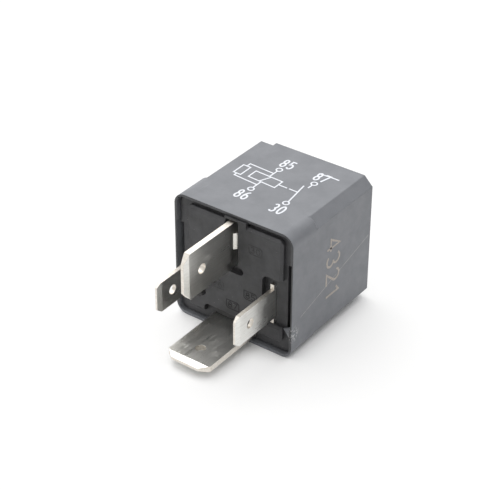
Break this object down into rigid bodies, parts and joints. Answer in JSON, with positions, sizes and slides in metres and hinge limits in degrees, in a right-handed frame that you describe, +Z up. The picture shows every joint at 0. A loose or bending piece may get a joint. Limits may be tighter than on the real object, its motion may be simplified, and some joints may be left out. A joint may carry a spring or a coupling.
{
  "type": "automotive power relay",
  "caption": "Square plug-in relay with wide power blades, narrow coil blades, and a hinged armature, coil and contacts inside its housing.",
  "frame": {"origin": "on the resting plane, under the middle of the whole relay, blades included", "axes": "+X across the terminal face, -Y the way the blades point, +Z up from the side wall it lies on"},
  "size_m": [0.0264, 0.04, 0.0265],
  "materials": {
    "cover_plastic": "satin moulded grey plastic",
    "base_plastic": "moulded black plastic",
    "tinned": "tinned brass blade",
    "yoke_steel": "zinc plated steel",
    "core_steel": "turned soft iron",
    "bobbin_plastic": "natural glass-filled plastic",
    "enamel_wire": "enamelled copper wire",
    "spring_copper": "copper alloy spring strip",
    "contact_silver": "silver alloy",
    "rivet_metal": "plated rivet",
    "resistor_body": "lacquered resistor body",
    "lead_wire": "tinned wire"
  },
  "bodies": {
    "housing": {"cover": "cover_plastic", "base": "base_plastic", "terminal_30": "tinned", "terminal_87": "tinned", "terminal_85": "tinned", "terminal_86": "tinned", "yoke": "yoke_steel", "core": "core_steel", "bobbin": "bobbin_plastic", "winding": "enamel_wire", "yoke_rivets": "rivet_metal", "fixed_contact": "contact_silver", "stop_arm": "tinned", "resistor": "resistor_body", "resistor_lead_85": "lead_wire", "resistor_lead_86": "lead_wire", "coil_lead_85": "enamel_wire", "coil_lead_86": "enamel_wire"},
    "armature": {"armature": "yoke_steel", "contact_spring": "spring_copper", "spring_rivets": "rivet_metal", "moving_contact": "contact_silver"}
  },
  "joints": [
    {"name": "armature_pull_in", "type": "hinge", "parent": "housing", "child": "armature", "pos_m": [0, 0.01445, 0.0204], "axis": [-1, 0, 0], "range_deg": [0, 3], "stiffness_Nm_per_rad": 0.03, "springref_deg": -11.46, "deforming": ["contact_spring"]}
  ]
}
